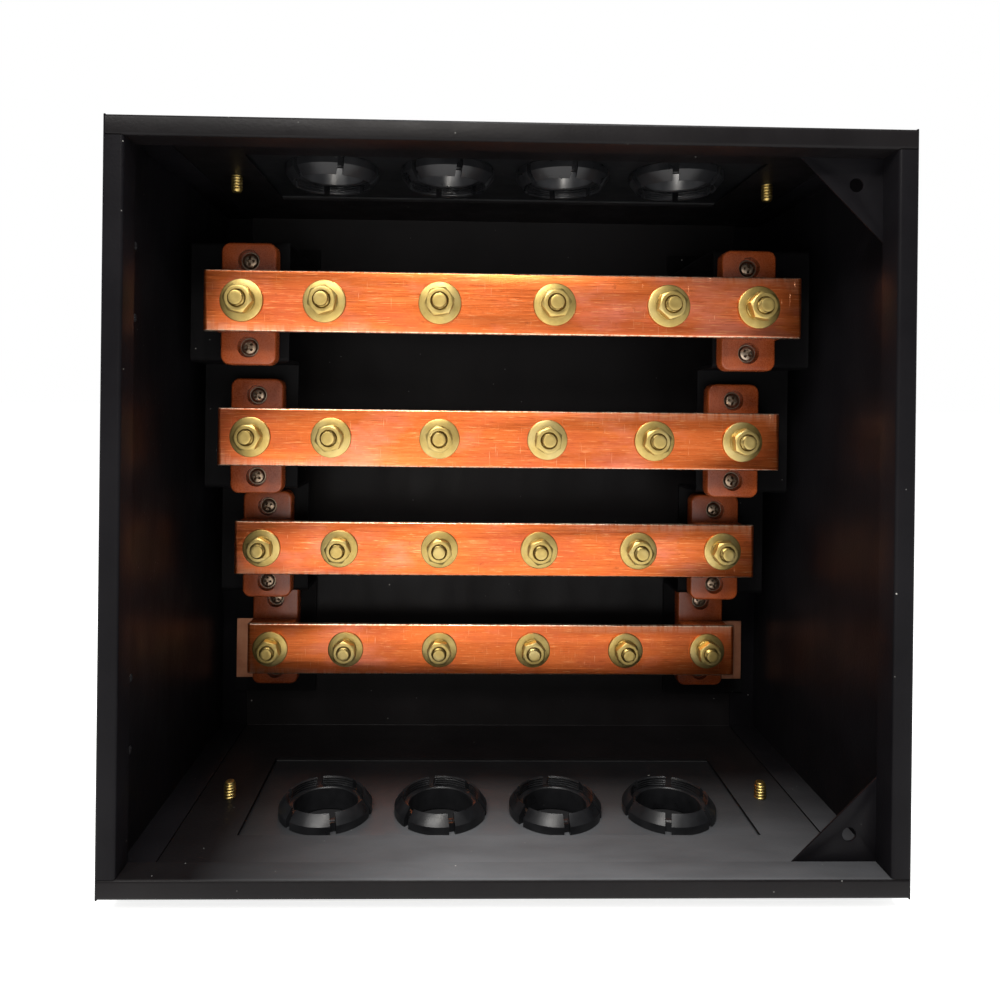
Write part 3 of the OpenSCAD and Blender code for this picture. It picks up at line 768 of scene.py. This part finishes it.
def gland_screws(name):
    """Hexagon screws: the head is outside, the thread ends inside the box."""
    bm = bmesh.new()
    outward = UP if name == "top" else -UP
    head_h, shank = GLAND_SCREW_HEAD, 4 * MM
    for low, high in solids(f"gland_screws_{name}"):
        tip_z = low.z if name == "top" else high.z
        length = high.z - low.z
        flats = high.y - low.y
        spin = Spindle(Vector((middle((low, high)).x, middle((low, high)).y, tip_z)), outward)
        end = length - head_h
        thread = thread_radius(shank, GLAND_SCREW_PITCH, 0.72 * MM, 0.9 * MM, end)
        rows = [spin.row(2.4 * MM, 0), spin.row(2.9 * MM, 0.12 * MM)]
        rows += [spin.row(thread, h) for h in thread_heights(0.9 * MM, end - 0.2 * MM, GLAND_SCREW_PITCH)]
        rows += hex_head(spin, flats, end, head_h)
        loft(bm, rows)
    obj = make_object(f"gland_plate_screws_{name}", bm)
    return finish_piece(obj, MATERIALS["yellow_zinc"], "yellow_zinc", f"gland_screws_{name}")


def hex_head(spin, flats, base, height):
    """Rows of a chamfered hexagon head that starts at base and ends in its outer face."""
    hexagon = hex_radius(flats, flats * 0.566)
    rim = flats * 0.465

    def drop(angle):
        return base + height - max(0.0, hexagon(angle) - rim) * 0.55

    return [spin.row(rim, base), spin.row(hexagon, base + 0.25 * MM), spin.row(hexagon, drop),
            spin.row(rim, base + height), spin.row(rim * 0.82, base + height - 0.15 * MM),
            spin.row(rim * 0.5, base + height - 0.2 * MM)]


# ---- brackets, insulators and their screws --------------------------------------------

def bracket(name):
    """Stepped bracket folded from one strip: rear flange, top leg, four treads and their steps."""
    low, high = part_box(f"bracket_{name}")
    thick = 2 * MM
    carried = [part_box(f"insulator_{name}_{k}") for k in BARS]
    top = high.z - BRACKET_FLANGE
    back = high.y - thick
    path = [(back, high.z), (back, top), (carried[0][1].y, top)]
    for here, below in zip(carried, carried[1:]):
        step = here[0].z + STEP_LAP
        path += [(here[1].y, step), (below[1].y, step)]
    path.append((carried[-1][1].y, low.z))
    bm = bmesh.new()
    outline = folded_outline(path, thick, BRACKET_BEND, 1)
    add_prism(bm, outline, low.x, high.x, lambda u, v, along: Vector((along, u, v)))
    cutter = bmesh.new()
    for screw in solids(f"insulator_screws_{name}"):
        start = Vector((middle(screw).x, screw[1].y - 4 * MM, middle(screw).z))
        add_rod(cutter, start, -FRONT, 6 * MM, 3.05 * MM)
    obj = cut(make_object(f"stepped_bracket_{name}", bm), make_object("bracket_cutter", cutter))
    return finish_piece(obj, MATERIALS["bracket_paint"], "bracket_paint", f"bracket_{name}")


def insulator_pattern(size, rise):
    """One moulded insulator, its flange about the origin, its seat at Y = 0 and its boss lower by rise."""
    flange, total = 11 * MM, size.y
    boss_h = 40 * MM
    down = Vector((0, 0, -rise))
    bm = bmesh.new()
    levels = ((0.5, 0), (0, -0.5), (0, -flange / MM + 1.4), (0.35, -flange / MM + 0.55),
              (0.9, -flange / MM + 0.12), (1.6, -flange / MM))
    loft(bm, plate_rows(size.x, size.z, 6 * MM, [(i * MM, d * MM) for i, d in levels]))
    edge = total / MM
    levels = ((0.05, -3), (0.05, -edge + 0.9), (0.3, -edge + 0.3), (0.8, -edge + 0.02), (1.0, -edge))
    boss = plate_rows(size.x - 0.1 * MM, boss_h, 1.4 * MM, [(i * MM, d * MM) for i, d in levels])
    loft(bm, [[point + down for point in row] for row in boss])
    obj = make_object("insulator", bm)
    cutter = bmesh.new()
    for end in (-1, 1):
        z = end * 29 * MM
        add_rod(cutter, Vector((0, -total - 1 * MM, z)), -FRONT, total - flange + 6.5 * MM, 7.25 * MM)
        add_rod(cutter, Vector((0, -flange - 1 * MM, z)), -FRONT, flange + 3 * MM, 3.3 * MM)
    add_rod(cutter, Vector((0, -total - 1 * MM, -rise)), -FRONT, 17 * MM, 7.55 * MM)
    return cut(obj, make_object("insulator_cutter", cutter))


def insulators():
    for k in BARS:
        low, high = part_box(f"insulator_left_{k}")
        rise = middle((low, high)).z - middle(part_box(f"busbar_{k}")).z
        pattern = insulator_pattern(high - low, rise)
        for name in SIDES:
            low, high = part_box(f"insulator_{name}_{k}")
            mesh = pattern.data.copy()
            mesh.transform(Matrix.Translation((middle((low, high)).x, high.y, middle((low, high)).z)))
            obj = bpy.data.objects.new(f"moulded_insulator_{name}_{k}", mesh)
            bpy.context.scene.collection.objects.link(obj)
            slot = "insulator_moulding"
            finish_piece(obj, MATERIALS[slot], slot, f"insulator_{name}_{k}")
        bpy.data.objects.remove(pattern)


def insulator_screws(name, draw):
    """Cross-recessed screws with a captive washer, each turned its own way."""
    bm = bmesh.new()
    cutter = bmesh.new()
    for low, high in solids(f"insulator_screws_{name}"):
        spot = Vector((middle((low, high)).x, high.y, middle((low, high)).z))
        length = high.y - low.y
        rim = (high.x - low.x) / 2
        spin = Spindle(spot, FRONT)
        head = length - 3.5 * MM
        profile = [(2.6, 0), (3, 0.4), (3, head / MM),
                   (rim / MM - 0.2, head / MM), (rim / MM, head / MM + 0.2),
                   (rim / MM, head / MM + 0.8), (rim / MM - 0.25, head / MM + 1.05),
                   (5.35, head / MM + 1.05),
                   (5.35, head / MM + 1.9), (5.1, head / MM + 2.5), (4.4, head / MM + 3.05),
                   (3.2, head / MM + 3.4), (1.6, head / MM + 3.5)]
        loft(bm, [spin.row(r * MM, h * MM) for r, h in profile])
        turn = draw.uniform(0, math.pi / 2)
        for quarter in (0, math.pi / 2):
            part = bmesh.new()
            rows = []
            for half_len, half_wide, level in ((1.3, 0.6, 1.2), (4.3, 1.0, 4.5)):
                rows.append([Vector((sx * half_len * MM, -head - level * MM, sz * half_wide * MM))
                             for sx, sz in ((1, 1), (-1, 1), (-1, -1), (1, -1))])
            loft(part, rows)
            part.transform(Matrix.Translation(spot) @ Matrix.Rotation(turn + quarter, 4, "Y"))
            mesh = bpy.data.meshes.new("cross")
            part.to_mesh(mesh)
            part.free()
            cutter.from_mesh(mesh)
            bpy.data.meshes.remove(mesh)
    obj = cut(make_object(f"insulator_screw_set_{name}", bm), make_object("crosses", cutter))
    return finish_piece(obj, MATERIALS["screw_steel"], "screw_steel", f"insulator_screws_{name}")


def backing_plate(name):
    low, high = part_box(f"backing_plate_{name}")
    bm = bmesh.new()
    size = high - low
    centre = middle((low, high))
    rows = []
    for inset, level in ((0.15, 0), (0, 0.2), (0, 0.7), (0.2, 1)):
        outline = rounded_rect(size.x - 2 * inset * MM, size.z - 2 * inset * MM, 0.6 * MM)
        rows.append([Vector((centre.x + p.x, high.y - size.y * level, centre.z + p.y)) for p in outline])
    loft(bm, rows)
    obj = make_object(f"copper_backing_{name}", bm)
    return finish_piece(obj, MATERIALS["dull_copper"], "dull_copper", f"backing_plate_{name}")


# ---- busbars and terminal hardware ----------------------------------------------------

def busbar(k):
    """A sheared and brushed bar: rolled long edges, dressed ends, six stud holes."""
    low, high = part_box(f"busbar_{k}")
    size = high - low
    centre = middle((low, high))
    bm = bmesh.new()
    rows = []
    levels = ((0.6, 0.25, 0), (0.1, 0, 0.12), (0, 0, 0.6), (0.5, 0.1, 0.82), (1.3, 0.4, 0.93), (2.2, 0.9, 1))
    for inset_x, inset_z, level in levels:
        w, h = size.x - 2 * inset_x * MM, size.z - 2 * inset_z * MM
        outline = rounded_rect(w, h, 0.8 * MM, 3)
        rows.append([Vector((centre.x + p.x, high.y - size.y * level, centre.z + p.y)) for p in outline])
    loft(bm, rows)
    cutter = bmesh.new()
    for spot, _ in terminal_faces(f"nuts_{k}"):
        add_rod(cutter, Vector((spot.x, low.y - 1 * MM, spot.z)), -FRONT, size.y + 2 * MM, 5.5 * MM)
    obj = cut(make_object(f"copper_busbar_{k}", bm), make_object("bar_cutter", cutter))
    return finish_piece(obj, MATERIALS["copper"], "copper", f"busbar_{k}")


def studs(k):
    """Threaded studs with flat, chamfered tips; the four middle ones are bolts, headed behind the bar."""
    bm = bmesh.new()
    ends = solids(f"studs_{k}")
    radius = (ends[0][1].x - ends[0][0].x) / 2
    head_h = BOLT_HEAD
    for low, high in ends:
        is_bolt = high.x - low.x > 2.5 * radius
        length = high.y - low.y
        free = 5.5 * MM
        spot = Vector((middle((low, high)).x, low.y, middle((low, high)).z))
        spin = Spindle(spot, -FRONT, 40)
        rows = [spin.row(r * MM, h * MM) for r, h in ((2.2, 0.05), (4.0, 0), (4.4, 0.12), (4.6, 0.45))]
        thread = thread_radius(radius, STUD_PITCH, 0.8 * MM, 1.1 * MM, free + STUD_PITCH)
        rows += [spin.row(thread, h) for h in thread_heights(1.1 * MM, free, STUD_PITCH)]
        rows.append(spin.row(radius - 0.2 * MM, free + 1 * MM))
        if is_bolt:
            rows.append(spin.row(radius - 0.2 * MM, length - head_h))
            rows += hex_head(spin, high.z - low.z, length - head_h, head_h)
        else:
            rows += [spin.row(radius - 0.2 * MM, length - 0.8 * MM), spin.row(radius - 1 * MM, length)]
        loft(bm, rows)
    obj = make_object(f"terminal_studs_{k}", bm)
    return finish_piece(obj, MATERIALS["yellow_zinc"], "yellow_zinc", f"studs_{k}")


def plain_washers(k):
    bm = bmesh.new()
    for spot, size in terminal_faces(f"plain_washers_{k}"):
        outer, inner, thick = size.x / 2, WASHER_BORE, size.y
        spin = Spindle(spot, FRONT, 64)
        profile = [(inner + 0.3 * MM, 0), (outer - 0.25 * MM, 0), (outer, 0.25 * MM), (outer, thick * 0.6),
                   (outer - 0.25 * MM, thick * 0.88), (outer - 0.8 * MM, thick), (inner + 0.35 * MM, thick),
                   (inner, thick - 0.35 * MM), (inner, 0.3 * MM)]
        loft(bm, [spin.row(r, h) for r, h in profile], wrap=True)
    obj = make_object(f"terminal_washers_{k}", bm)
    return finish_piece(obj, MATERIALS["yellow_zinc"], "yellow_zinc", f"plain_washers_{k}")


def spring_washers(k, draw):
    """Split rings, each with its gap turned its own way."""
    bm = bmesh.new()
    for spot, size in terminal_faces(f"spring_washers_{k}"):
        outer, inner, thick = size.x / 2, WASHER_BORE, size.y
        start = draw.uniform(0, 2 * math.pi)
        half_gap = 0.09
        section = [(inner, 0.2), (inner + 0.2 * MM, 0), (outer - 0.3 * MM, 0), (outer, 0.12), (outer, 0.88),
                   (outer - 0.3 * MM, 1), (inner + 0.2 * MM, 1), (inner, 0.8)]
        rows = []
        steps = 44
        for step in range(steps + 1):
            angle = start + half_gap + (2 * math.pi - 2 * half_gap) * step / steps
            rise = 0.12 * thick * (1 - step / steps)
            rows.append([spot + RIGHT * r * math.cos(angle) + UP * r * math.sin(angle)
                         + FRONT * (rise + h * (thick - 0.12 * thick)) for r, h in section])
        loft(bm, rows)
    obj = make_object(f"terminal_spring_washers_{k}", bm)
    return finish_piece(obj, MATERIALS["yellow_zinc"], "yellow_zinc", f"spring_washers_{k}")


def nuts(k, draw):
    """Hexagon nuts, chamfered on both faces, each turned its own way."""
    bm = bmesh.new()
    for spot, size in terminal_faces(f"nuts_{k}"):
        flats, height, bore = size.z, size.y, 5.05 * MM
        hexagon = hex_radius(flats, flats * 0.57)
        rim = flats * 0.47
        spin = Spindle(spot, FRONT, 72, draw.uniform(0, math.pi / 3))

        def low_edge(angle):
            return max(0.0, hexagon(angle) - rim) * 0.5

        def high_edge(angle):
            return height - max(0.0, hexagon(angle) - rim) * 0.62

        rows = [spin.row(bore, 0.5 * MM), spin.row(bore + 0.5 * MM, 0), spin.row(rim, 0),
                spin.row(hexagon, low_edge), spin.row(hexagon, high_edge),
                spin.row(rim, height - 0.05 * MM),
                spin.row(rim - 0.25 * MM, height), spin.row(bore + 0.9 * MM, height),
                spin.row(bore, height - 0.9 * MM)]
        loft(bm, rows, wrap=True)
    obj = make_object(f"terminal_nuts_{k}", bm)
    return finish_piece(obj, MATERIALS["yellow_zinc"], "yellow_zinc", f"nuts_{k}")


# ---- pieces that keep their CAD shape -------------------------------------------------

def carried_over():
    """CAD nodes that are mostly hidden keep their shape and get a proper material."""
    kept = {"gasket_foam": [f"gland_gasket_{name}" for name in ENDS],
            "washer_rubber": [f"bush_washers_{name}" for name in ENDS],
            "brass": [f"insulator_inserts_{name}" for name in SIDES]}
    for slot, nodes in kept.items():
        for node in nodes:
            mesh = frame["nodes"][node].data
            mesh.materials.clear()
            mesh.materials.append(MATERIALS[slot])


# ---- stage, light and camera ----------------------------------------------------------

def stage():
    bm = bmesh.new()
    bmesh.ops.create_grid(bm, x_segments=8, y_segments=8, size=60)
    floor = make_object("floor", bm)
    floor.location.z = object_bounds()[0][2] - 0.3 * MM
    floor.data.materials.append(stage_floor())
    floor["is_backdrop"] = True


def world():
    made = bpy.data.worlds.new("studio")
    made.use_nodes = True
    background = made.node_tree.nodes["Background"]
    background.inputs["Color"].default_value = (1, 1, 1, 1)
    rays = made.node_tree.nodes.new("ShaderNodeLightPath").outputs["Is Camera Ray"]
    strength = made.node_tree.nodes.new("ShaderNodeMapRange")
    strength.inputs["To Min"].default_value = STUDIO_LIGHT
    strength.inputs["To Max"].default_value = 1.0
    made.node_tree.links.new(rays, strength.inputs["Value"])
    made.node_tree.links.new(strength.outputs["Result"], background.inputs["Strength"])
    bpy.context.scene.world = made


def area_light(name, place, target, size, power, colour=(1, 1, 1)):
    data = bpy.data.lights.new(name, "AREA")
    data.shape = "RECTANGLE"
    data.size, data.size_y = size
    data.energy = power
    data.color = colour
    obj = bpy.data.objects.new(name, data)
    obj.location = place
    obj.rotation_euler = (Vector(target) - Vector(place)).to_track_quat("-Z", "Y").to_euler()
    bpy.context.scene.collection.objects.link(obj)


def lights():
    warm, warmer, daylight = (1.0, 0.95, 0.88), (1.0, 0.93, 0.82), (1.0, 0.98, 0.95)
    area_light("key", (-0.55, -1.5, 1.25), (0, -0.1, 0), (0.9, 0.6), 26, daylight)
    area_light("lens_side", (-0.085, -0.74, -0.04), (-0.06, 0, -0.08), (0.045, 0.30), 0.28, warmer)
    area_light("above_lens", (-0.06, -0.60, 0.43), (-0.02, -0.12, -0.03), (0.05, 0.05), 1.4, warm)
    area_light("overhead", (0.1, -0.55, 1.4), (0, -0.2, -0.2), (0.6, 0.3), 20)


def camera():
    data = bpy.data.cameras.new("camera")
    data.lens = CAMERA_LENS
    data.sensor_width = 36
    data.shift_x, data.shift_y = CAMERA_SHIFT
    obj = bpy.data.objects.new("camera", data)
    obj.location = CAMERA_PLACE
    obj.rotation_euler = [math.radians(turn) for turn in CAMERA_TURN]
    bpy.context.scene.collection.objects.link(obj)
    bpy.context.scene.camera = obj


def view_transform():
    settings = bpy.context.scene.view_settings
    settings.view_transform = "Standard"
    settings.look = "None"


# ---- build ----------------------------------------------------------------------------

def build():
    camera()
    world()
    lights()
    stage()
    view_transform()
    draw = random.Random(7)
    main_shell()
    for name, side in zip(SIDES, (-1, 1)):
        side_panel(name, side)
        bracket(name)
        insulator_screws(name, draw)
        backing_plate(name)
    for name in ENDS:
        gusset(name)
        gland_plate(name)
        bush_bodies(name)
        locknuts(name)
        gland_screws(name)
    insulators()
    for k in BARS:
        busbar(k)
        studs(k)
        plain_washers(k)
        spring_washers(k, draw)
        nuts(k, draw)
    carried_over()


build()
